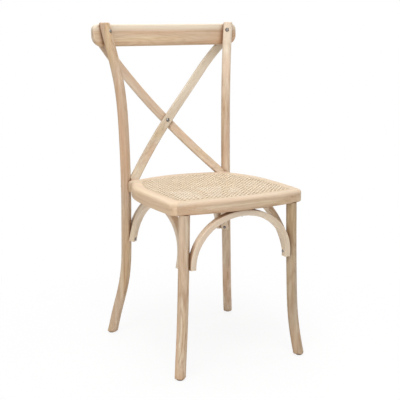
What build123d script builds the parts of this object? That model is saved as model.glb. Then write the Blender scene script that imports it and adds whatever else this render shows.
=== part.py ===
from build123d import *
import os
from math import cos, radians, sin, sqrt

os.makedirs("parts", exist_ok=True)

# The chair faces -Y, +Z is up and the floor is Z = 0. All sizes are millimetres.

# Seat frame
seat_top = 454.0
seat_thick = 32.0
seat_front_y = -256.0
seat_front_corner = (194.0, -233.0)
seat_front_corner_radius = 30.0
seat_half_width = 200.0
seat_side_y = -95.0
seat_hip = (198.4, -41.0)
seat_hip_mid = (181.0, 38.0)
seat_back_corner = (146.0, 103.0)
seat_back_corner_radius = 10.0
seat_back_y = 137.5
seat_frame_width = 62.0
seat_top_round = 9.0
seat_low_round = 4.0
mitre_outer = (178.0, -230.0)
rear_joint_outer = (165.0, 76.0)
rear_joint_angle = 57.0
nose_half_width = 8.0
nose_depth = 0.4

# Cane panel let into the top of the seat frame
groove_inset = 30.0
cane_corner_radius = 14.0
groove_width = 4.0
groove_depth = 8.0
cane_thick = 1.6
spline_proud = 0.4

# Front legs: height, X and Y of the right leg's centre line
leg_size = 26.0
leg_round = 8.0
foot_edge = 1.5
tenon_radius = 8.0
tenon_length = 24.0
front_leg_turn = 45.0
front_leg_path = [
    (0.0, 182.0, -244.8),
    (24.0, 178.6, -240.8),
    (74.0, 172.4, -234.2),
    (125.0, 167.9, -230.6),
    (200.0, 164.4, -228.9),
    (300.0, 161.4, -228.0),
    (seat_top - seat_thick, 159.0, -227.5),
]

# Rear posts: height, X and Y of the right post's centre line
post_size = 25.0
post_turn = 54.0
post_top = 884.0
post_top_round = 3.5
post_path = [
    (0.0, 195.5, 162.0),
    (100.0, 178.4, 138.3),
    (140.0, 172.3, 129.5),
    (195.0, 166.2, 121.0),
    (275.0, 163.2, 119.0),
    (400.0, 161.4, 119.6),
    (500.0, 161.2, 122.0),
    (600.0, 162.8, 126.0),
    (700.0, 167.7, 133.8),
    (760.0, 174.6, 143.8),
    (820.0, 184.1, 156.9),
    (post_top, 195.8, 171.4),
]

# Crest rail, a bent board let into the back of the posts
crest_middle = 849.5
crest_high = 60.0
crest_thick = 19.0
crest_half_length = 226.0
crest_bow = 3.0
crest_slope = 0.08
crest_seat = 2.6
crest_top_round = 15.0
crest_low_round = 28.0
crest_edge_round = 5.0
crest_screw_z = 858.0

# Crossed slats: height, X and Y below the crest rail, from upper left to lower right
slat_width = 26.0
slat_thick = 9.0
slat_round = 2.5
slat_top_x = 206.0
slat_top_z = 843.0
slat_over = 8.0
slat_run = 0.86
slat_path = [
    (780.0, -152.5, 206.0),
    (720.0, -102.0, 205.2),
    (660.0, -50.0, 198.8),
    (605.0, 0.0, 187.0),
    (530.0, 68.5, 159.5),
    (454.0, 138.5, 115.5),
    (430.0, 160.5, 99.5),
]
slat_low = 442.0
slat_foot_x = 149.0
slat_seat = 0.4
slat_screw_z = 831.0

# Bent arches under the seat
arch_thick = 16.0
arch_width = 20.0
arch_round = 3.0
arch_end_z = 280.0
arch_spring_z = 291.0
arch_half_span = 140.8
rear_half_span = 140.5
front_arch_y = -233.0
front_screw_in = 3.0
front_arch_lean = -6.0
rear_arch_y = 125.5
side_arch_front = (161.0, -206.5)
side_arch_rear = (150.6, 103.6)
side_arch_lean = 16.0
side_arch_turn = -35.0
side_arch_turn_from = 0.74
side_arch_turn_to = 0.95

# Fasteners
clear = 0.15
screw_radius = 2.0
screw_head_radius = 4.4
screw_head_high = 2.6
end_screw_length = 30.0
end_screw_up = 13.0
side_screw_up = 7.0
top_screw_length = 32.0
crest_screw_length = 42.0
slat_screw_length = 19.0
bolt_radius = 3.0
bolt_head_radius = 5.6
bolt_head_high = 3.6
bolt_socket = 2.4
spot_face = 0.4
spot_margin = 0.3
nut_radius = 6.0
nut_high = 5.0
post_bolt_z = 435.0
post_bolt_reach = 40.0
barrel_in = 28.0
barrel_radius = 5.0
barrel_high = 18.0
dowel_radius = 4.0
dowel_length = 40.0
dowel_z = 437.0
front_dowels = (32.0, 47.0)
rear_dowels = (24.0, 44.0)
glide_high = 4.0
glide_radius = 8.5
glide_pin_radius = 2.0
glide_pin_length = 16.0

# Derived directions and heights
up = Vector(0, 0, 1)
seat_low = seat_top - seat_thick
post_dir = Vector(cos(radians(post_turn)), sin(radians(post_turn)), 0)
post_side = Vector(post_dir.Y, -post_dir.X, 0)
leg_dir = Vector(cos(radians(front_leg_turn)), -sin(radians(front_leg_turn)), 0)


def rod(point, direction, length, radius):
    """Round bar that starts at a point and runs along a direction."""
    low = (Align.CENTER, Align.CENTER, Align.MIN)
    return Plane(origin=point, z_dir=direction) * Cylinder(radius, length, align=low)


def domed(point, direction, length, radius, head_radius, head_high, socket=0.0):
    """Screw or bolt: a domed head that sits on the point and a shank along the direction."""
    with BuildSketch(Plane.XZ) as profile:
        with BuildLine():
            ThreePointArc((0, -head_high), (head_radius * 0.72, -head_high * 0.62), (head_radius, 0))
            Line((head_radius, 0), (radius, 0))
            Line((radius, 0), (radius, length))
            Line((radius, length), (0, length))
            Line((0, length), (0, -head_high))
        make_face()
    body = revolve(profile.sketch, Axis.Z)
    if socket:
        recess = extrude(RegularPolygon(socket, 6), head_high * 0.6)
        body -= Pos(0, 0, -head_high - 0.05) * recess
    return Plane(origin=point, z_dir=direction) * body


def cap_nut(point, direction, bolt_end):
    """Domed cap nut with its flat face on the point and a blind hole for the bolt's end."""
    body = extrude(RegularPolygon(nut_radius, 6), nut_high)
    dome = Pos(0, 0, nut_high) * Sphere(nut_radius * 0.8)
    body += dome & Pos(0, 0, nut_high + nut_radius / 2) * Box(20, 20, nut_radius)
    body -= Cylinder(bolt_radius + clear, 2 * (bolt_end + clear))
    return Plane(origin=point, z_dir=direction) * body


def bent_bar(points, side_of, width, thick, radius, stations):
    """Bar of rounded rectangular section that follows a smooth path through the points."""
    path = Spline(*points)
    sections = []
    for i in range(stations + 1):
        t = i / stations
        plane = Plane(origin=path @ t, x_dir=side_of(path % t, t), z_dir=path % t)
        sections.append(plane * RectangleRounded(width, thick, radius))
    return loft(sections)


def level_cut(bar, low, high):
    """Trims a bar to the space between two heights."""
    return bar & (Pos(0, 0, (low + high) / 2) * Box(1200, 1200, high - low))


def flip(piece):
    """Mirror image on the other side of the chair."""
    return mirror(piece, about=Plane.YZ)


def both(pieces):
    """Right-hand pieces with their mirror images."""
    return list(pieces) + [flip(piece) for piece in pieces]


def cut(piece, tools):
    for tool in tools:
        piece -= tool
    return piece


def plan_of(corners):
    with BuildSketch() as plan:
        with BuildLine():
            Polyline(*corners, close=True)
        make_face()
    return plan.sketch


# Seat frame
def seat_outline():
    fx, fy = seat_front_corner
    hx, hy = seat_hip
    mx, my = seat_hip_mid
    bx, by = seat_back_corner
    with BuildSketch() as plan:
        with BuildLine():
            ThreePointArc((-fx, fy), (0, seat_front_y), (fx, fy))
            ThreePointArc((fx, fy), (seat_half_width, seat_side_y), (hx, hy))
            ThreePointArc((hx, hy), (mx, my), (bx, by))
            ThreePointArc((bx, by), (0, seat_back_y), (-bx, by))
            ThreePointArc((-bx, by), (-mx, my), (-hx, hy))
            ThreePointArc((-hx, hy), (-seat_half_width, seat_side_y), (-fx, fy))
        make_face()
        fillet(plan.vertices().sort_by(Axis.Y)[:2], seat_front_corner_radius)
        fillet(plan.vertices().sort_by(Axis.Y)[-2:], seat_back_corner_radius)
    return plan.sketch


def seat_inset(amount):
    """The outline drawn in by an amount, with its four corners rounded again."""
    arcs = offset(seat_outline(), amount=-amount).face().outer_wire().order_edges()
    joints = [min(arc.vertices(), key=last.distance_to) for last, arc in zip(arcs[-1:] + arcs[:-1], arcs)]
    joints = [Vector(joint.X, joint.Y) for joint in joints]
    with BuildSketch() as plan:
        with BuildLine():
            for arc, start, end in zip(arcs, joints, joints[1:] + joints[:1]):
                ThreePointArc(start, arc @ 0.5, end)
        make_face()
    radius = max(cane_corner_radius + groove_inset - amount, cane_corner_radius / 2)
    corners = plan.sketch.vertices().sort_by(Axis.Y)
    return fillet(corners[:2] + corners[-2:], radius)


def nose():
    """Corner block of the back rail that reaches the inner front face of the post."""
    at = post_point(post_bolt_z)
    face = Vector(at.X, at.Y) - post_dir * (post_size / 2 - nose_depth)
    outer, inner = face + post_side * nose_half_width, face - post_side * nose_half_width
    bx, by = seat_back_corner
    back, front, wing = (bx - 22, by + 9), (bx - 22, by - 33), (bx + 13, by - 33)
    return plan_of([(outer.X, outer.Y), (inner.X, inner.Y), back, front, wing])


def seat_frame():
    """The four rails as one block with rounded edges, the cane's groove and recess cut in."""
    plan = seat_outline() + nose() + flip(nose())
    block = Pos(0, 0, seat_low) * extrude(plan, seat_thick)
    block = fillet(block.faces().sort_by(Axis.Z)[-1].outer_wire().edges(), seat_top_round)
    block = fillet(block.faces().sort_by(Axis.Z)[0].outer_wire().edges(), seat_low_round)
    hole = Pos(0, 0, seat_low - 1) * extrude(seat_inset(seat_frame_width), seat_thick + 2)
    bed = seat_inset(groove_inset + groove_width)
    groove = Pos(0, 0, seat_top - groove_depth) * extrude(seat_inset(groove_inset), groove_depth + 1)
    groove -= Pos(0, 0, seat_low) * extrude(bed, seat_thick - cane_thick)
    return block - groove - hole


def seat_rails(frame):
    """Front, right, left and back rail: mitred at the front, butted across the band behind."""
    mx, my = mitre_outer
    jx, jy = rear_joint_outer
    run_x, run_y = cos(radians(rear_joint_angle)), sin(radians(rear_joint_angle))
    front_out, front_in = (mx + 90, my - 90), (mx - 110, my + 110)
    rear_out, rear_in = (jx + 60 * run_x, jy + 60 * run_y), (jx - 110 * run_x, jy - 110 * run_y)
    far = (front_out[0], rear_out[1])

    def zone(corners):
        return Pos(0, 0, seat_low - 20) * extrude(plan_of(corners), seat_thick + 40)

    def swap(corners):
        return [(-x, y) for x, y in reversed(corners)]

    side = zone([front_out, front_in, rear_in, rear_out, far])
    front = zone([front_out, front_in] + swap([front_out, front_in]))
    back = zone([far, rear_out, rear_in] + swap([far, rear_out, rear_in]) + [(-far[0], 400), (far[0], 400)])
    return frame & front, frame & side, frame & flip(side), frame & back


def joint_dowels(length, radius):
    """Two dowels square across each of the four joints of the seat frame."""
    mx, my = mitre_outer
    jx, jy = rear_joint_outer
    angle = radians(rear_joint_angle)
    pins = []
    for reach in front_dowels:
        run = Vector(1, 1, 0).normalized()
        at = Vector(mx - reach * run.X, my + reach * run.Y, dowel_z)
        pins.append(rod(at - run * (length / 2), run, length, radius))
    for reach in rear_dowels:
        run = Vector(sin(angle), -cos(angle), 0)
        at = Vector(jx - reach * cos(angle), jy - reach * sin(angle), dowel_z)
        pins.append(rod(at - run * (length / 2), run, length, radius))
    return both(pins)


# Legs and posts
def leg_bar(rows, side, size, top):
    """Bent square bar through the rows of a path, cut level at the foot."""
    points = [Vector(x, y, z) for z, x, y in rows]
    below = points[0] + (points[0] - points[1]).normalized() * 12
    above = points[-1] + (points[-1] - points[-2]).normalized() * top
    bar = bent_bar([below, *points, above], lambda run, t: side, size, size, leg_round, len(rows) + 2)
    bar = level_cut(bar, glide_high, post_top + 40)
    return chamfer(bar.faces().sort_by(Axis.Z)[0].edges(), foot_edge)


def front_leg():
    """Front leg, cut level under the seat frame, with its round tenon."""
    bar = level_cut(leg_bar(front_leg_path, leg_dir, leg_size, 12), 0, seat_low)
    z, x, y = front_leg_path[-1]
    return bar + rod(Vector(x, y, z - 2), up, tenon_length + 2, tenon_radius)


def post_point(z):
    """Centre of the right rear post at a height."""
    for (z0, x0, y0), (z1, x1, y1) in zip(post_path, post_path[1:]):
        if z0 <= z <= z1:
            share = (z - z0) / (z1 - z0)
            return Vector(x0 + (x1 - x0) * share, y0 + (y1 - y0) * share, z)


def rear_post():
    bar = level_cut(leg_bar(post_path, post_dir, post_size, 12), 0, post_top)
    return fillet(bar.faces().sort_by(Axis.Z)[-1].edges(), post_top_round)


# Crest rail
post_corner = (post_size / 2 - leg_round) * sqrt(2) + leg_round
crest_up = Vector(0, crest_slope, 1).normalized()
crest_back = Vector(0, 1, -crest_slope).normalized()
crest_front_y = post_point(crest_middle).Y + post_corner - crest_seat


def crest_rail():
    """Board bowed about the upright, leaning back with the posts, with rounded ends."""
    ends = crest_half_length
    plane = Plane(origin=(0, crest_front_y, crest_middle), x_dir=(1, 0, 0), z_dir=crest_up)
    with BuildSketch() as plan:
        with BuildLine():
            ThreePointArc((-ends, -crest_bow / 4), (0, crest_bow * 0.75), (ends, -crest_bow / 4))
            Line((ends, -crest_bow / 4), (ends, crest_thick - crest_bow / 4))
            ThreePointArc(
                (ends, crest_thick - crest_bow / 4),
                (0, crest_thick + crest_bow * 0.75),
                (-ends, crest_thick - crest_bow / 4),
            )
            Line((-ends, crest_thick - crest_bow / 4), (-ends, -crest_bow / 4))
        make_face()
    board = extrude(plan.sketch, crest_high / 2, both=True)
    for side, radius in ((-1, crest_top_round), (0, crest_low_round)):
        short = [e for e in board.edges() if e.length < 1.2 * crest_thick]
        board = fillet(ShapeList(short).group_by(Axis.Z)[side], radius)
    rims = [e for e in board.edges() if e.length > crest_half_length]
    return plane * fillet(rims, crest_edge_round)


def behind_crest(x, z, depth):
    """Point at a depth behind the rail's front face, near the posts."""
    return Vector(x, crest_front_y + (z - crest_middle) * crest_slope + depth, z)


# Slats
def slat_points(shift):
    """Centre line from behind the left end of the crest rail to the foot of the right post."""
    depth = crest_thick + slat_thick / 2 - slat_seat
    points = []
    for rise in (slat_over, 0, -slat_over):
        points.append(behind_crest(-slat_top_x - slat_run * rise, slat_top_z + rise, depth))
    for z, x, y in slat_path:
        near = max(0.0, 1 - (x / slat_path[0][1]) ** 2)
        points.append(Vector(x, y + shift * near, z))
    return points


def slat_normal(run):
    """Square to the slat with no sideways part, so that both slats lie flat where they cross."""
    return Vector(0, 1, -run.Y / run.Z).normalized()


def slat(shift):
    bar = bent_bar(
        slat_points(shift), lambda run, t: run.cross(slat_normal(run)), slat_width, slat_thick, slat_round, 11
    )
    bar = level_cut(bar, slat_low, post_top)
    return bar & (Pos(slat_foot_x - 600, 0, crest_middle) * Box(1200, 1200, 1200))


def slat_crossing(shift):
    """Centre and normal of a slat at the crossing."""
    points = slat_points(shift)
    at = [i for i, point in enumerate(points) if point.X == 0][0]
    return points[at], slat_normal((points[at + 1] - points[at - 1]).normalized())


# Arches
arch_rise = seat_low - arch_thick / 2 - arch_spring_z


def lean_share(z):
    """Part of an arch's lean that it has reached at a height."""
    return sin(radians(90 * (z - arch_end_z) / (arch_spring_z + arch_rise - arch_end_z)))


def arch_points(start, finish, lean):
    """Centre line: short straight ends and an ellipse between them, leaning inward going up."""
    middle, half = (start + finish) / 2, (finish - start) / 2
    inward = Vector(-half.Y, half.X, 0).normalized()
    rows = [(180, arch_end_z), (180, (arch_end_z + arch_spring_z) / 2)]
    rows += [(180 - 15 * i, arch_spring_z + arch_rise * sin(radians(15 * i))) for i in range(13)]
    rows += [(0, (arch_end_z + arch_spring_z) / 2), (0, arch_end_z)]
    points = []
    for angle, z in rows:
        points.append(middle + half * cos(radians(angle)) + inward * (lean * lean_share(z)) + up * z)
    return points


def arch(start, finish, lean=0.0, turn=0.0):
    """Bent strip from one leg up under the seat and down to the next; the far end may turn."""
    along = (finish - start).normalized()

    def side_of(run, t):
        share = (t - side_arch_turn_from) / (side_arch_turn_to - side_arch_turn_from)
        share = min(max(share, 0.0), 1.0)
        return Vector(-along.Y, along.X, 0).rotate(Axis.Z, turn * share * share * (3 - 2 * share))

    bar = bent_bar(arch_points(start, finish, lean), side_of, arch_width, arch_thick, arch_round, 16)
    return level_cut(bar, arch_end_z, seat_low)


front_arch_ends = Vector(-arch_half_span, front_arch_y), Vector(arch_half_span, front_arch_y)
rear_arch_ends = Vector(-rear_half_span, rear_arch_y), Vector(rear_half_span, rear_arch_y)
side_arch_ends = Vector(*side_arch_front), Vector(*side_arch_rear)


def lean_shift(z):
    """How far the side arch has moved inward at a height."""
    run = (side_arch_ends[1] - side_arch_ends[0]).normalized()
    return Vector(-run.Y, run.X, 0) * (side_arch_lean * lean_share(z))


def end_screw_places():
    """Head positions and directions of the screws at the arch ends, right side."""
    half = arch_thick / 2
    high, low = arch_end_z + end_screw_up, arch_end_z + side_screw_up
    lean = lean_shift(low)
    front = side_arch_ends[0] + lean + up * low + Vector(0, half, 0)
    rear = side_arch_ends[1] + lean + up * low - post_dir * half
    return [
        (Vector(arch_half_span - half, front_arch_y + front_screw_in, high), Vector(1, 0, 0)),
        (Vector(rear_half_span - half, rear_arch_y, high), Vector(1, 0, 0)),
        (front, Vector(0, -1, 0)),
        (rear, post_dir),
    ]


def top_screw_places():
    """Head positions of the screws at the crown of the arches."""
    z = seat_low - arch_thick
    side = (side_arch_ends[0] + side_arch_ends[1]) / 2 + lean_shift(seat_low - arch_thick / 2)
    front_y = front_arch_y + front_arch_lean
    spots = [(0, front_y), (0, rear_arch_y), (side.X, side.Y), (-side.X, side.Y)]
    return [Vector(x, y, z) for x, y in spots]


# Build the wooden pieces
front_rail, right_rail, left_rail, back_rail = seat_rails(seat_frame())
leg = front_leg()
post = rear_post()
crest = crest_rail()
slat_shift = (slat_thick - slat_seat) / 2
slat_front = flip(slat(-slat_shift))
slat_rear = slat(slat_shift)
front_arch = arch(*front_arch_ends, front_arch_lean)
rear_arch = arch(*rear_arch_ends)
side_arch = arch(*side_arch_ends, side_arch_lean, side_arch_turn)

# Housings where one wooden piece is seated on another
leg = cut(leg, [front_arch, side_arch])
post = cut(post, [rear_arch, side_arch, crest])
posts = both([post])
slat_front = cut(slat_front, [crest, *posts])
slat_rear = cut(slat_rear, [crest, *posts, slat_front])
back_rail = cut(back_rail, [*posts, slat_front, slat_rear])

# Dowels of the seat frame
dowels = joint_dowels(dowel_length, dowel_radius)
dowel_holes = joint_dowels(dowel_length + 1, dowel_radius + clear)
front_rail = cut(front_rail, dowel_holes)
right_rail = cut(right_rail, dowel_holes)
left_rail = cut(left_rail, dowel_holes)
back_rail = cut(back_rail, dowel_holes)

# Tenons of the front legs
tenon_at = Vector(front_leg_path[-1][1], front_leg_path[-1][2], seat_low - 1)
front_rail = cut(front_rail, both([rod(tenon_at, up, tenon_length + 1.5, tenon_radius + clear)]))

# Screws of the arches
end_screws, end_holes = [], []
for at, run in end_screw_places():
    end_screws.append(domed(at, run, end_screw_length, screw_radius, screw_head_radius, screw_head_high))
    end_holes.append(rod(at - run, run, end_screw_length + 1.5, screw_radius + clear))
    end_holes.append(rod(at + run * 0.001, run * -1, 6, screw_head_radius + spot_margin))
leg = cut(leg, end_holes)
post = cut(post, end_holes)
front_arch = cut(front_arch, both(end_holes))
rear_arch = cut(rear_arch, both(end_holes))
side_arch = cut(side_arch, end_holes)
top_screws, top_holes = [], []
for at in top_screw_places():
    top_screws.append(domed(at, up, top_screw_length, screw_radius, screw_head_radius, screw_head_high))
    top_holes.append(rod(at - up, up, top_screw_length + 1.5, screw_radius + clear))
    top_holes.append(rod(at, up * -1, 6, screw_head_radius + spot_margin))
front_arch = cut(front_arch, top_holes[:2])
rear_arch = cut(rear_arch, top_holes[2:4])
side_arch = cut(side_arch, top_holes[4:6])
front_rail = cut(front_rail, top_holes[:2])
back_rail = cut(back_rail, top_holes[2:4])
right_rail = cut(right_rail, top_holes[4:6])
left_rail = cut(left_rail, top_holes[6:])

# Screws through the posts into the crest rail, and through the slats into its back
crest_at = post_point(crest_screw_z)
lean = post_point(crest_screw_z + 10) - post_point(crest_screw_z - 10)
crest_run = Vector(post_dir.X, post_dir.Y, -lean.dot(post_dir) / lean.Z).normalized()
head_at = crest_at - crest_run * (post_size / 2 - spot_face)
crest_screw = domed(
    head_at, crest_run, crest_screw_length, bolt_radius, bolt_head_radius, bolt_head_high, bolt_socket
)
crest_holes = both([
    rod(head_at - crest_run * 2, crest_run, crest_screw_length + 2.5, bolt_radius + clear),
    rod(head_at, crest_run * -1, 8, bolt_head_radius + spot_margin),
])
slat_screw_x = slat_top_x + slat_run * (slat_screw_z - slat_top_z)
slat_head = behind_crest(slat_screw_x, slat_screw_z, crest_thick + slat_thick - slat_seat - spot_face)
slat_run_in = crest_back * -1
slat_screw = domed(
    slat_head, slat_run_in, slat_screw_length, screw_radius, screw_head_radius, screw_head_high
)
slat_holes = both([
    rod(slat_head - slat_run_in * 2, slat_run_in, slat_screw_length + 2.5, screw_radius + clear),
    rod(slat_head, crest_back, 8, screw_head_radius + spot_margin),
])
post = cut(post, crest_holes)
crest = cut(crest, crest_holes + slat_holes)
slat_front = cut(slat_front, slat_holes)
slat_rear = cut(slat_rear, slat_holes)

# Bolt through the crossing of the slats
front_at, cross_dir = slat_crossing(-slat_shift)
rear_at, cross_dir = slat_crossing(slat_shift)
bolt_end = nut_high - 0.5
cross_head = front_at - cross_dir * (slat_thick / 2 - spot_face)
cross_grip = (rear_at - cross_head).dot(cross_dir) + slat_thick / 2 - spot_face
cross_nut_at = cross_head + cross_dir * cross_grip
cross_bolt = domed(
    cross_head, cross_dir, cross_grip + bolt_end, bolt_radius, bolt_head_radius, bolt_head_high, bolt_socket
)
cross_nut = cap_nut(cross_nut_at, cross_dir, bolt_end)
cross_holes = [
    rod(cross_head - cross_dir * 2, cross_dir, cross_grip + 12, bolt_radius + clear),
    rod(cross_head, cross_dir * -1, 8, bolt_head_radius + spot_margin),
    rod(cross_nut_at, cross_dir, 8, nut_radius + spot_margin),
]
slat_front = cut(slat_front, cross_holes)
slat_rear = cut(slat_rear, cross_holes)

# Bolts from the rear posts into barrel nuts in the back rail
post_at_seat = post_point(post_bolt_z)
into = post_dir * -1
seat_head = post_at_seat - into * (post_size / 2 - spot_face)
seat_bolt_length = post_size + post_bolt_reach
post_bolt = domed(
    seat_head, into, seat_bolt_length, bolt_radius, bolt_head_radius, bolt_head_high, bolt_socket
)
barrel_at = post_at_seat + into * (post_size / 2 + barrel_in)
barrel_at = Vector(barrel_at.X, barrel_at.Y, post_bolt_z - barrel_high / 2)
bolt_hole = rod(seat_head - into * 2, into, seat_bolt_length + 3, bolt_radius + clear)
barrel_nut = rod(barrel_at, up, barrel_high, barrel_radius) - bolt_hole
barrel_foot = Vector(barrel_at.X, barrel_at.Y, seat_low - 1)
barrel_hole = rod(barrel_foot, up, barrel_at.Z - barrel_foot.Z + barrel_high + 0.2, barrel_radius + clear)
post = cut(post, [bolt_hole, rod(seat_head, into * -1, 8, bolt_head_radius + spot_margin)])
back_rail = cut(back_rail, both([bolt_hole, barrel_hole]))

# Glides under the feet
front_foot = Vector(front_leg_path[0][1], front_leg_path[0][2], 0)
rear_foot = Vector(post_path[0][1], post_path[0][2], 0)
glides, glide_holes = [], []
for foot in (front_foot, rear_foot):
    pad = Pos(foot.X, foot.Y, 0) * Cylinder(
        glide_radius, glide_high, align=(Align.CENTER, Align.CENTER, Align.MIN)
    )
    pad = fillet(pad.faces().sort_by(Axis.Z)[0].edges(), 1.2)
    glides.append(pad + rod(foot + up * 2, up, glide_high - 2 + glide_pin_length, glide_pin_radius))
    glide_holes.append(rod(foot, up, glide_high + glide_pin_length + 0.5, glide_pin_radius + clear))
leg = cut(leg, glide_holes)
post = cut(post, glide_holes)

# Cane panel and the spline that holds its edge
bed = seat_inset(groove_inset + groove_width)
cane_panel = Pos(0, 0, seat_top - cane_thick) * extrude(bed, cane_thick)
spline = extrude(seat_inset(groove_inset), groove_depth + spline_proud)
spline -= extrude(bed, groove_depth + spline_proud)
spline = Pos(0, 0, seat_top - groove_depth) * spline

nodes = {
    "front_leg_right": [leg],
    "front_leg_left": [flip(leg)],
    "rear_post_right": [post],
    "rear_post_left": [flip(post)],
    "seat_front_rail": [front_rail],
    "seat_right_rail": [right_rail],
    "seat_left_rail": [left_rail],
    "seat_back_rail": [back_rail],
    "seat_dowels": dowels,
    "cane_panel": [cane_panel],
    "cane_spline": [spline],
    "crest_rail": [crest],
    "cross_slat_front": [slat_front],
    "cross_slat_rear": [slat_rear],
    "front_arch": [front_arch],
    "rear_arch": [rear_arch],
    "right_arch": [side_arch],
    "left_arch": [flip(side_arch)],
    "arch_end_screws": both(end_screws),
    "arch_top_screws": top_screws,
    "crest_screws": both([crest_screw]),
    "slat_screws": both([slat_screw]),
    "cross_bolt": [cross_bolt],
    "cross_nut": [cross_nut],
    "post_bolts": both([post_bolt]),
    "barrel_nuts": both([barrel_nut]),
    "foot_glides": both(glides),
}
# Each node is moved so that the chair stands centred over the origin
box = Compound([solid for pieces in nodes.values() for piece in pieces for solid in piece.solids()]).bounding_box()
centred = Pos(0, -(box.min.Y + box.max.Y) / 2, 0)
for name, pieces in nodes.items():
    solids = [centred * solid for piece in pieces for solid in piece.solids()]
    shape = solids[0] if len(solids) == 1 else Compound(solids)
    export_step(shape, f"parts/{name}.step")
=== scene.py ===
import math

import bpy
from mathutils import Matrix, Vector


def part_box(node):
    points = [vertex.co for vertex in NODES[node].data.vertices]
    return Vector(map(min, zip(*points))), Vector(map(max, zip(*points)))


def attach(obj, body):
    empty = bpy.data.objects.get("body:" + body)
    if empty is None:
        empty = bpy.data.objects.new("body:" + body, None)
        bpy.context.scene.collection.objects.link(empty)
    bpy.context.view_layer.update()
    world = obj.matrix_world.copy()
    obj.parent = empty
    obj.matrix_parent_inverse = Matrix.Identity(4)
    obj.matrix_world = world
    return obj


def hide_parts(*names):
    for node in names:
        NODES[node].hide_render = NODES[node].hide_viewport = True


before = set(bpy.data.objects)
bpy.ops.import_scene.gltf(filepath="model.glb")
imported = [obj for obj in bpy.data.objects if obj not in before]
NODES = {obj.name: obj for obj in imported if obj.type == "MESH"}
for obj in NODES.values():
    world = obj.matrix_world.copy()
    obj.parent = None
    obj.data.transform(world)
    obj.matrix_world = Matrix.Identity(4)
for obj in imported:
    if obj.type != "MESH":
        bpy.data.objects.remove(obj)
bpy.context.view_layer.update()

MM = 0.001


# Small tools

def linear(code):
    """Linear colour of an sRGB hex value."""
    parts = [int(code[i:i + 2], 16) / 255 for i in (1, 3, 5)]
    return tuple(p / 12.92 if p <= 0.04045 else ((p + 0.055) / 1.055) ** 2.4 for p in parts) + (1.0,)


def add(tree, kind, inputs=None, stops=(), **settings):
    """A node with its settings, its inputs, each a value or another node's socket, and its colour stops."""
    node = tree.nodes.new(kind)
    for name, value in settings.items():
        setattr(node, name, value)
    for name, value in (inputs or {}).items():
        if isinstance(value, bpy.types.NodeSocket):
            tree.links.new(value, node.inputs[name])
        else:
            node.inputs[name].default_value = value
    # A ramp starts with two stops
    for _ in stops[2:]:
        node.color_ramp.elements.new(0.5)
    for i, (place, code) in enumerate(stops):
        node.color_ramp.elements[i].position = place
        node.color_ramp.elements[i].color = linear(code)
    return node


def finish_of(name):
    """A new material, its node tree and its shader."""
    material = bpy.data.materials.new(name)
    material.use_nodes = True
    tree = material.node_tree
    return material, tree, tree.nodes["Principled BSDF"]


def dress(obj, material):
    obj.data.materials.clear()
    obj.data.materials.append(material)


def clear_selection():
    if bpy.context.object and bpy.context.object.mode != "OBJECT":
        bpy.ops.object.mode_set(mode="OBJECT")
    bpy.ops.object.select_all(action="DESELECT")


# Limed rubberwood: sawn and bent sticks, sanded and washed with a thin white stain that stays
# in the pores. It shows pale beige streaks along the grain, pinkish and yellowish by turns,
# darker flames where growth rings are cut at a slant, and a soft satin sheen.

# Length and width of each kind of mark, and how its noise is made. Real fibres are finer
# than 0.5 mm, and they are drawn coarser so that they show.
WOOD_MARKS = {
    "streak": (650 * MM, 12 * MM, {"Detail": 4.0, "Roughness": 0.62, "Distortion": 0.2}),
    "fibre": (45 * MM, 1.5 * MM, {"Detail": 3.0, "Roughness": 0.7}),
    "cloud": (420 * MM, 36 * MM, {"Detail": 1.0}),
    "hill": (210 * MM, 26 * MM, {"Detail": 1.0, "Roughness": 0.4}),
}
STREAK_TONES = ((0.28, "#AE9070"), (0.46, "#CEB69E"), (0.57, "#D3BEA7"), (0.74, "#E9DCC8"))
BLUSH_TONES = ((0.34, "#FFEDE0"), (0.50, "#FFFFFF"), (0.66, "#FFF8E4"))
PORE_TONES = ((0.30, "#DCCBB6"), (0.47, "#FFFFFF"))
# Painted shade tones for corners and where pieces meet
NOOK_SHADE_TONES = ((0.35, "#B08C66"), (0.8, "#FFFFFF"))
FLAME_TONE = "#B58A62"
LIME_TONE = "#EADCC7"
# Paler tone of the painted top light
TOP_LIGHT_TONE = "#E8DCC9"
FLAME_LINES = 9
# Reach of the painted shade where pieces meet
NOOK_SHADE_DEPTH = 22 * MM
BEND_RADIUS = 140 * MM
PORE_DEPTH = 0.4 * MM
# Steps in metres from one piece's place in the pattern to the next
PATTERN_STEP = (0.731, 0.417, 0.263)


def straight_grain(tree, turn, seed):
    """Object coordinates turned so that the grain runs along X, with a place of their own in the pattern."""
    place = add(tree, "ShaderNodeTexCoord")
    turned = add(tree, "ShaderNodeMapping", {
        "Vector": place.outputs["Object"],
        "Rotation": turn,
        "Location": [seed * step for step in PATTERN_STEP],
    })
    return turned.outputs["Vector"]


def bent_grain(tree, centre, across, seed):
    """Coordinates that go round an arch: along the bend, out from its centre, and across the strip."""
    place = add(tree, "ShaderNodeTexCoord")
    moved = add(tree, "ShaderNodeVectorMath", {0: place.outputs["Object"], 1: centre}, operation="SUBTRACT")
    parts = add(tree, "ShaderNodeSeparateXYZ", {0: moved.outputs[0]})
    side = parts.outputs["X" if across == "Y" else "Y"]
    angle = add(tree, "ShaderNodeMath", {0: parts.outputs["Z"], 1: side}, operation="ARCTAN2")
    along = add(tree, "ShaderNodeMath", {0: angle.outputs[0], 1: BEND_RADIUS}, operation="MULTIPLY")
    flat = add(tree, "ShaderNodeCombineXYZ", {"X": side, "Y": parts.outputs["Z"]})
    out = add(tree, "ShaderNodeVectorMath", {0: flat.outputs[0]}, operation="LENGTH")
    joined = add(tree, "ShaderNodeCombineXYZ", {
        "X": along.outputs[0], "Y": out.outputs["Value"], "Z": parts.outputs[across],
    })
    placed = add(tree, "ShaderNodeVectorMath", {
        0: joined.outputs[0], 1: [seed * step for step in PATTERN_STEP],
    }, operation="ADD")
    return placed.outputs[0]


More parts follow.
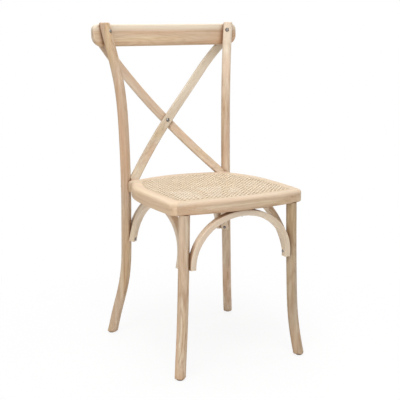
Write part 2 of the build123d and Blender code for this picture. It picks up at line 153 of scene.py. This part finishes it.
def limed_rubberwood(tree, shader, run, flame, wash_and_painted_light, stain_and_painted_shade, painted_top_light=None):
    """The wood's look on a shader, with its grain along the first of the coordinates in run."""
    marks = {}
    for mark, (long, wide, noise) in WOOD_MARKS.items():
        stretched = add(tree, "ShaderNodeVectorMath", {0: run, 1: (1 / long, 1 / wide, 1 / wide)},
                        operation="MULTIPLY")
        pattern = add(tree, "ShaderNodeTexNoise", {"Vector": stretched.outputs[0], "Scale": 1.0, **noise})
        marks[mark] = pattern.outputs["Fac"]

    # Growth rings cut at a slant show as flames: the level lines of a long soft hill
    steps = add(tree, "ShaderNodeMath", {0: marks["hill"], 1: FLAME_LINES}, operation="MULTIPLY")
    rings = add(tree, "ShaderNodeMath", {0: steps.outputs[0], 1: 0.5}, operation="PINGPONG")
    edge = add(tree, "ShaderNodeMapRange", {
        "Value": rings.outputs[0], "From Min": 0.0, "From Max": 0.3, "To Min": flame, "To Max": 0.0,
    })
    reach = add(tree, "ShaderNodeMapRange", {"Value": marks["cloud"], "From Min": 0.38, "From Max": 0.54})
    flames = add(tree, "ShaderNodeMath", {0: edge.outputs[0], 1: reach.outputs[0]}, operation="MULTIPLY")

    base = add(tree, "ShaderNodeValToRGB", {"Fac": marks["streak"]}, STREAK_TONES)
    blush = add(tree, "ShaderNodeValToRGB", {"Fac": marks["cloud"]}, BLUSH_TONES)
    pores = add(tree, "ShaderNodeValToRGB", {"Fac": marks["fibre"]}, PORE_TONES)
    coats = [
        ("MULTIPLY", 0.8, blush.outputs["Color"]),
        ("MULTIPLY", flames.outputs[0], linear(FLAME_TONE)),
        ("MULTIPLY", 0.6, pores.outputs["Color"]),
        # For some pieces the wash is partly painted light and the stain partly painted shade
        ("MIX", wash_and_painted_light, linear(LIME_TONE)),
        ("MULTIPLY", 1.0, linear(stain_and_painted_shade)),
    ]
    # Painted top light: the wood is mixed paler towards the top between two heights
    if painted_top_light:
        low, high, share = painted_top_light
        place = add(tree, "ShaderNodeTexCoord")
        height = add(tree, "ShaderNodeSeparateXYZ", {0: place.outputs["Object"]})
        pale = add(tree, "ShaderNodeMapRange", {
            "Value": height.outputs["Z"], "From Min": low, "From Max": high, "To Max": share,
        }, interpolation_type="SMOOTHSTEP")
        coats.append(("MIX", pale.outputs[0], linear(TOP_LIGHT_TONE)))
    # Painted shade: the wood is darkened in corners and where two pieces meet, by an occlusion node
    nook_shade = add(tree, "ShaderNodeAmbientOcclusion", {"Distance": NOOK_SHADE_DEPTH}, samples=8)
    painted_shade = add(tree, "ShaderNodeValToRGB", {"Fac": nook_shade.outputs["AO"]}, NOOK_SHADE_TONES)
    coats.append(("MULTIPLY", 0.8, painted_shade.outputs["Color"]))

    colour = base.outputs["Color"]
    for kind, share, coat in coats:
        mixed = add(tree, "ShaderNodeMix", {0: share, 6: colour, 7: coat}, data_type="RGBA", blend_type=kind)
        colour = mixed.outputs[2]
    tree.links.new(colour, shader.inputs["Base Color"])
    sheen = add(tree, "ShaderNodeMapRange", {
        "Value": marks["fibre"], "From Min": 0.3, "From Max": 0.7, "To Min": 0.64, "To Max": 0.5,
    })
    tree.links.new(sheen.outputs[0], shader.inputs["Roughness"])
    relief = add(tree, "ShaderNodeBump", {"Height": marks["fibre"], "Strength": 0.12, "Distance": PORE_DEPTH})
    tree.links.new(relief.outputs[0], shader.inputs["Normal"])
    shader.inputs["IOR"].default_value = 1.48
    shader.inputs["Specular IOR Level"].default_value = 0.3


# Turns that bring each piece's grain onto X
UPRIGHT = (0.0, math.radians(90), 0.0)
ACROSS = (0.0, 0.0, 0.0)
DEEP = (0.0, 0.0, math.radians(90))
SLANT = math.radians(49)

# Heights between which a piece gets paler towards its top, a painted top light, and by how much
SEAT_TOP_LIGHT = (440 * MM, 470 * MM, 0.75)
PAINTED_TOP_LIGHTS = {
    "crest_rail": (855 * MM, 872 * MM, 0.75),
    "cross_slat_front": (560 * MM, 700 * MM, 0.55),
    "rear_post_right": (620 * MM, 860 * MM, 0.5),
    "front_leg_left": (240 * MM, 420 * MM, 0.25),
    "seat_front_rail": SEAT_TOP_LIGHT,
    "seat_back_rail": SEAT_TOP_LIGHT,
    "seat_left_rail": SEAT_TOP_LIGHT,
    "seat_right_rail": SEAT_TOP_LIGHT,
}
# Place in the grain pattern, grain direction, strength of the flames, share of white wash, and stain
# The darker stain of front_leg_right is painted shade, and the larger washes of seat_left_rail and the cross
# slats are painted light
STRAIGHT_PIECES = {
    "front_leg_left": (43, UPRIGHT, 0.5, 0.0, "#FCFBF6"),
    "front_leg_right": (2, UPRIGHT, 0.25, 0.0, "#E0E0DA"),
    "rear_post_left": (3, UPRIGHT, 0.12, 0.0, "#F7F4F0"),
    "rear_post_right": (4, UPRIGHT, 0.2, 0.08, "#FFFFFF"),
    "seat_front_rail": (5, ACROSS, 0.1, 0.1, "#F7F2EA"),
    "seat_back_rail": (6, ACROSS, 0.1, 0.1, "#F7F2EA"),
    "seat_left_rail": (7, DEEP, 0.1, 0.4, "#FFF3E4"),
    "seat_right_rail": (8, DEEP, 0.1, 0.1, "#F7F2EA"),
    "crest_rail": (9, ACROSS, 0.15, 0.0, "#FCF9F4"),
    "seat_dowels": (10, ACROSS, 0.1, 0.0, "#FFFFFF"),
    "cross_slat_front": (11, (0.0, SLANT, 0.0), 0.12, 0.15, "#F6FBFC"),
    "cross_slat_rear": (12, (0.0, -SLANT, 0.0), 0.12, 0.3, "#FBF9F8"),
}
for name, (seed, turn, flame, wash_and_painted_light, stain_and_painted_shade) in STRAIGHT_PIECES.items():
    finish, tree, shader = finish_of("limed_rubberwood_" + name)
    limed_rubberwood(tree, shader, straight_grain(tree, turn, seed), flame, wash_and_painted_light, stain_and_painted_shade, PAINTED_TOP_LIGHTS.get(name))
    dress(NODES[name], finish)

# Place in the grain pattern, the axis across the strip, and the centre of the bend
ARCHES = {
    "front_arch": (21, "Y", (0.0, -0.212, 0.291)),
    "rear_arch": (22, "Y", (0.0, 0.1486, 0.291)),
    "right_arch": (23, "X", (0.15, -0.029, 0.291)),
    "left_arch": (24, "X", (-0.15, -0.029, 0.291)),
}
ARCH_FLAME = 0.1
ARCH_WASH = 0.55
for name, (seed, across, centre) in ARCHES.items():
    finish, tree, shader = finish_of("limed_rubberwood_" + name)
    limed_rubberwood(tree, shader, bent_grain(tree, centre, across, seed), ARCH_FLAME, ARCH_WASH, "#FFFFFF")
    dress(NODES[name], finish)


# Burnished steel: turned screw and bolt heads, dull grey, with a fine speckle of darker oxide
# and a broad soft shine.

STEEL_SPECK = 1.2 * MM
STEEL_TONES = ((0.35, "#676360"), (0.55, "#8A8682"), (0.72, "#B1ABA5"))


def burnished_steel():
    material, tree, shader = finish_of("burnished_steel")
    place = add(tree, "ShaderNodeTexCoord")
    speck = add(tree, "ShaderNodeTexNoise", {
        "Vector": place.outputs["Object"], "Scale": 1 / STEEL_SPECK, "Detail": 4.0, "Roughness": 0.6,
    }).outputs["Fac"]
    colour = add(tree, "ShaderNodeValToRGB", {"Fac": speck}, STEEL_TONES)
    tree.links.new(colour.outputs["Color"], shader.inputs["Base Color"])
    rough = add(tree, "ShaderNodeMapRange", {"Value": speck, "To Min": 0.28, "To Max": 0.5})
    tree.links.new(rough.outputs[0], shader.inputs["Roughness"])
    relief = add(tree, "ShaderNodeBump", {"Height": speck, "Strength": 0.08, "Distance": 0.2 * MM})
    tree.links.new(relief.outputs[0], shader.inputs["Normal"])
    shader.inputs["Metallic"].default_value = 1.0
    return material


STEEL = burnished_steel()
for name in ("arch_end_screws", "arch_top_screws", "crest_screws", "slat_screws", "cross_bolt", "cross_nut",
             "post_bolts", "barrel_nuts"):
    dress(NODES[name], STEEL)


# Moulded nylon of the foot glides: matt grey brown, with a faint moulding grain and scuffs.

NYLON_SCUFF = 2.5 * MM
NYLON_TONES = ((0.4, "#796C61"), (0.7, "#9E9187"))


def moulded_nylon():
    material, tree, shader = finish_of("moulded_nylon")
    place = add(tree, "ShaderNodeTexCoord")
    scuff = add(tree, "ShaderNodeTexNoise", {
        "Vector": place.outputs["Object"], "Scale": 1 / NYLON_SCUFF, "Detail": 5.0, "Roughness": 0.7,
    }).outputs["Fac"]
    colour = add(tree, "ShaderNodeValToRGB", {"Fac": scuff}, NYLON_TONES)
    tree.links.new(colour.outputs["Color"], shader.inputs["Base Color"])
    relief = add(tree, "ShaderNodeBump", {"Height": scuff, "Strength": 0.1, "Distance": 0.3 * MM})
    tree.links.new(relief.outputs[0], shader.inputs["Normal"])
    shader.inputs["Roughness"].default_value = 0.6
    return material


dress(NODES["foot_glides"], moulded_nylon())


# Split cane and reed: rattan, shaved into flat strands with its shiny skin, or rounded. Straw coloured,
# with paler and darker lengths, small flecks, a waxy sheen, and painted shade on what lies low in the weave.

CANE_LOW, CANE_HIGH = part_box("cane_panel")
# Middle height of the weave
CANE_Z = CANE_HIGH[2] - 0.5 * MM
CANE_PATCH = 55 * MM
CANE_FLECK = 1.6 * MM
FLECK_TONES = ((0.3, "#E2D2B8"), (0.5, "#FFFFFF"))
# Painted shade for what lies low in the weave
LOW_STRAND_SHADE_TONES = ((0.0, "#9A8260"), (1.0, "#FFFFFF"))


def rattan(name, pale, dark, low_strand_shade):
    material, tree, shader = finish_of(name)
    place = add(tree, "ShaderNodeTexCoord").outputs["Object"]
    patch = add(tree, "ShaderNodeTexNoise", {
        "Vector": place, "Scale": 1 / CANE_PATCH, "Detail": 2.0, "Roughness": 0.5,
    }).outputs["Fac"]
    skin = add(tree, "ShaderNodeTexNoise", {
        "Vector": place, "Scale": 1 / CANE_FLECK, "Detail": 3.0, "Roughness": 0.6,
    }).outputs["Fac"]
    parts = add(tree, "ShaderNodeSeparateXYZ", {0: place})
    height = add(tree, "ShaderNodeMapRange", {
        "Value": parts.outputs["Z"], "From Min": CANE_Z - 0.7 * MM, "From Max": CANE_Z + 0.6 * MM,
    })
    base = add(tree, "ShaderNodeValToRGB", {"Fac": patch}, ((0.3, dark), (0.7, pale)))
    flecks = add(tree, "ShaderNodeValToRGB", {"Fac": skin}, FLECK_TONES)
    # Painted shade: the lower in the weave, the darker
    painted_shade = add(tree, "ShaderNodeValToRGB", {"Fac": height.outputs[0]}, LOW_STRAND_SHADE_TONES)
    colour = base.outputs["Color"]
    for share, coat in ((0.7, flecks), (low_strand_shade, painted_shade)):
        mixed = add(tree, "ShaderNodeMix", {0: share, 6: colour, 7: coat.outputs["Color"]},
                    data_type="RGBA", blend_type="MULTIPLY")
        colour = mixed.outputs[2]
    tree.links.new(colour, shader.inputs["Base Color"])
    rough = add(tree, "ShaderNodeMapRange", {"Value": skin, "To Min": 0.4, "To Max": 0.6})
    tree.links.new(rough.outputs[0], shader.inputs["Roughness"])
    relief = add(tree, "ShaderNodeBump", {"Height": skin, "Strength": 0.08, "Distance": 0.2 * MM})
    tree.links.new(relief.outputs[0], shader.inputs["Normal"])
    shader.inputs["IOR"].default_value = 1.5
    return material


CANE = rattan("split_cane", "#F1E0C6", "#E8D4B7", 0.8)
REED = rattan("round_reed", "#D9C5A9", "#CAB393", 0.0)


# Woven cane seat in half-inch mesh: pairs of strands both ways and single strands on both diagonals,
# trimmed along the reed.

PITCH = 12.7 * MM
PAIR = 2.9 * MM
STRAND_WIDE = 2.3 * MM
STRAND_THICK = 0.5 * MM
STRAND_CROWN = 0.12 * MM
# How far a strand across swings over and under the strands from front to back
WEAVE_RISE = 0.75 * MM
DIAGONAL_WIDE = 2.7 * MM
# Height of the diagonals, half of what lies between the two, and how far they swing
DIAGONAL_LIFT = 0.55 * MM
DIAGONAL_APART = 0.12 * MM
DIAGONAL_RISE = 0.2 * MM
SHORTEST_STRAND = 6 * MM
PAIRS_EACH_SIDE = 14
DIAGONALS_EACH_SIDE = 28
FULL_TURN = 2 * math.pi


def rim_edges():
    """Edges round the top of the cane panel, in plan, where the strands are trimmed."""
    panel = NODES["cane_panel"]
    points = [panel.matrix_world @ vertex.co for vertex in panel.data.vertices]
    ends = [(points[a], points[b]) for a, b in (edge.vertices for edge in panel.data.edges)]
    return [(a, b) for a, b in ends if min(a.z, b.z) > CANE_HIGH[2] - 0.1 * MM]


RIM = rim_edges()


def span(point, run):
    """Start and end, along a line, of its part inside the rim, or None."""
    reach = []
    for a, b in RIM:
        side_a = (a.x - point[0]) * run[1] - (a.y - point[1]) * run[0]
        side_b = (b.x - point[0]) * run[1] - (b.y - point[1]) * run[0]
        if (side_a < 0) != (side_b < 0):
            cross = a.lerp(b, side_a / (side_a - side_b))
            reach.append((cross.x - point[0]) * run[0] + (cross.y - point[1]) * run[1])
    if not reach or max(reach) - min(reach) <= SHORTEST_STRAND:
        return None
    return min(reach), max(reach)


def strand(point, run, wide, rise, step):
    """One flat strand along a line, made from a grid whose rows follow the weave."""
    reach = span(point, run)
    if reach is None:
        return None
    low, high = reach
    first = math.ceil(low / step + 0.1)
    last = math.floor(high / step - 0.1)
    places = [low] + [k * step for k in range(first, last + 1)] + [high]
    bpy.ops.mesh.primitive_grid_add(x_subdivisions=len(places) - 1, y_subdivisions=2, size=1)
    piece = bpy.context.object
    side = (-run[1], run[0])
    for i, vertex in enumerate(piece.data.vertices):
        at = places[i % len(places)]
        across = (i // len(places) - 1) * wide / 2
        crown = -STRAND_CROWN if across else 0.0
        vertex.co = (point[0] + run[0] * at + side[0] * across, point[1] + run[1] * at + side[1] * across,
                     CANE_Z + crown + rise(at))
    return piece


def level(at):
    """Strands from front to back lie flat."""
    return 0.0


def over_and_under(half):
    """Height along a strand across, which swings against the other one of its pair."""
    return lambda at: half * WEAVE_RISE * math.sin(FULL_TURN * at / PITCH)


def on_top(lean, wave):
    """Height along a diagonal, which lies on the pairs and dips between them."""
    return lambda at: DIAGONAL_LIFT + DIAGONAL_APART * lean + DIAGONAL_RISE * math.cos(FULL_TURN * at / wave)


def woven_cane():
    clear_selection()
    pieces = []
    middle = (CANE_LOW[1] + CANE_HIGH[1]) / 2
    for i in range(-PAIRS_EACH_SIDE, PAIRS_EACH_SIDE + 1):
        for half in (-1, 1):
            x = i * PITCH + half * PAIR / 2
            pieces.append(strand((x, middle), (0, 1), STRAND_WIDE, level, PITCH))
            y = middle + i * PITCH + half * PAIR / 2
            pieces.append(strand((0, y), (1, 0), STRAND_WIDE, over_and_under(half), PITCH / 4))
    root = math.sqrt(0.5)
    wave = PITCH * root
    for i in range(-DIAGONALS_EACH_SIDE, DIAGONALS_EACH_SIDE + 1):
        offset = (i + 0.5) * PITCH
        for lean in (-1, 1):
            start = (offset / 2, middle - lean * offset / 2)
            pieces.append(strand(start, (root, lean * root), DIAGONAL_WIDE, on_top(lean, wave), wave / 4))
    pieces = [piece for piece in pieces if piece]
    clear_selection()
    for piece in pieces:
        piece.select_set(True)
    bpy.context.view_layer.objects.active = pieces[0]
    bpy.ops.object.join()
    cane = bpy.context.object
    cane.name = "cane_weave"
    body = cane.modifiers.new("thickness", "SOLIDIFY")
    body.thickness = STRAND_THICK
    body.offset = -1
    bpy.ops.object.modifier_apply(modifier="thickness")
    bpy.ops.object.shade_smooth_by_angle(angle=math.radians(50))
    bpy.ops.object.transform_apply(location=True, rotation=True, scale=True)
    dress(cane, CANE)
    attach(cane, "root")
    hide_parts("cane_panel")


woven_cane()


# Round reed pressed into the groove over the cane's edge

REED_ROUND = 1.7 * MM


def reed_bead():
    clear_selection()
    source = NODES["cane_spline"]
    reed = bpy.data.objects.new("reed_bead", source.data.copy())
    bpy.context.collection.objects.link(reed)
    reed.select_set(True)
    bpy.context.view_layer.objects.active = reed
    bpy.ops.object.mode_set(mode="EDIT")
    bpy.ops.mesh.select_all(action="SELECT")
    bpy.ops.mesh.remove_doubles(threshold=0.01 * MM)
    bpy.ops.mesh.dissolve_limited(angle_limit=math.radians(1))
    bpy.ops.object.mode_set(mode="OBJECT")
    edge = reed.modifiers.new("round", "BEVEL")
    edge.width = REED_ROUND
    edge.segments = 3
    edge.limit_method = "ANGLE"
    edge.angle_limit = math.radians(60)
    bpy.ops.object.modifier_apply(modifier="round")
    bpy.ops.object.shade_smooth_by_angle(angle=math.radians(50))
    dress(reed, REED)
    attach(reed, "root")
    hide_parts("cane_spline")


reed_bead()


# Studio: a floor of white paper, a soft sky all round and large soft lamps

WHITE = (1.0, 1.0, 1.0, 1.0)
SKY = 0.213
# How far the paper is lifted to white at the chair, and the distances in metres over which it gets all white
SHADOW_FADE = 0.87
FADE_FROM = 0.25
FADE_TO = 0.9
LAMP_AIM = Vector((0.0, 0.0, 0.45))
# Name, place and size in metres, and power in watts
LAMPS = (
    ("key_lamp", (-0.8, -1.25, 3.1), 1.6, 53),
    ("top_lamp", (0.0, 0.2, 3.0), 1.4, 22),
    ("left_lamp", (-2.6, -1.2, 1.2), 1.6, 16),
    ("right_lamp", (2.6, -0.3, 1.3), 1.6, 16.7),
    ("front_lamp", (0.3, -3.0, 1.3), 1.2, 10),
    ("back_lamp", (0.9, 1.9, 2.6), 1.6, 12.2),
)


def seen_share(tree):
    """1 for rays of the camera, of gloss and of glass, which see the background white, and 0 for light."""
    path = add(tree, "ShaderNodeLightPath")
    share = path.outputs["Is Camera Ray"]
    for ray in ("Is Glossy Ray", "Is Transmission Ray"):
        share = add(tree, "ShaderNodeMath", {0: share, 1: path.outputs[ray]}, operation="MAXIMUM").outputs[0]
    return share


def paper_floor():
    clear_selection()
    bpy.ops.mesh.primitive_plane_add(size=60, location=(0, 0, 0))
    floor = bpy.context.object
    floor.name = "studio_floor"
    material, tree, shader = finish_of("white_paper")
    shader.inputs["Base Color"].default_value = linear("#F6F6F6")
    shader.inputs["Roughness"].default_value = 0.9
    shader.inputs["Specular IOR Level"].default_value = 0.0
    # The paper is seen lifted to white, more so away from the chair, so that only a soft shadow stays
    place = add(tree, "ShaderNodeTexCoord")
    far = add(tree, "ShaderNodeVectorMath", {0: place.outputs["Object"]}, operation="LENGTH")
    fade = add(tree, "ShaderNodeMapRange", {
        "Value": far.outputs["Value"], "From Min": FADE_FROM, "From Max": FADE_TO,
        "To Min": SHADOW_FADE, "To Max": 1.0,
    }, interpolation_type="SMOOTHSTEP")
    share = add(tree, "ShaderNodeMath", {0: fade.outputs[0], 1: seen_share(tree)}, operation="MULTIPLY")
    white = add(tree, "ShaderNodeEmission", {"Color": WHITE, "Strength": 1.0})
    both = add(tree, "ShaderNodeMixShader", {0: share.outputs[0], 1: shader.outputs[0], 2: white.outputs[0]})
    tree.links.new(both.outputs[0], tree.nodes["Material Output"].inputs["Surface"])
    dress(floor, material)


def soft_sky():
    world = bpy.data.worlds.new("soft_sky")
    bpy.context.scene.world = world
    world.use_nodes = True
    tree = world.node_tree
    tree.nodes.clear()
    light = add(tree, "ShaderNodeBackground", {"Color": WHITE, "Strength": SKY})
    seen = add(tree, "ShaderNodeBackground", {"Color": WHITE, "Strength": 1.0})
    both = add(tree, "ShaderNodeMixShader", {0: seen_share(tree), 1: light.outputs[0], 2: seen.outputs[0]})
    add(tree, "ShaderNodeOutputWorld", {"Surface": both.outputs[0]})


def soft_lamps():
    for name, place, size, power in LAMPS:
        lamp = bpy.data.lights.new(name, "AREA")
        lamp.energy = power
        lamp.size = size
        holder = bpy.data.objects.new(name, lamp)
        bpy.context.collection.objects.link(holder)
        holder.location = place
        holder.rotation_euler = (LAMP_AIM - Vector(place)).to_track_quat("-Z", "Y").to_euler()


paper_floor()
soft_sky()
soft_lamps()


# Camera at the photograph's place, in degrees and metres: to the left of the front, and a little up

VIEW_TURN = -28.6
VIEW_LIFT = 11.8
VIEW_FAR = 2.441
VIEW_TARGET = Vector((-0.0145, -0.0199, 0.4114))
VIEW_LENS = 80.76


def camera():
    turn = math.radians(VIEW_TURN)
    lift = math.radians(VIEW_LIFT)
    away = Vector((math.sin(turn) * math.cos(lift), -math.cos(turn) * math.cos(lift), math.sin(lift)))
    lens = bpy.data.cameras.new("camera")
    lens.sensor_width = 36
    lens.lens = VIEW_LENS
    holder = bpy.data.objects.new("camera", lens)
    bpy.context.collection.objects.link(holder)
    holder.location = VIEW_TARGET + away * VIEW_FAR
    holder.rotation_euler = (-away).to_track_quat("-Z", "Y").to_euler()
    bpy.context.scene.camera = holder


camera()
bpy.context.scene.view_settings.view_transform = "Standard"
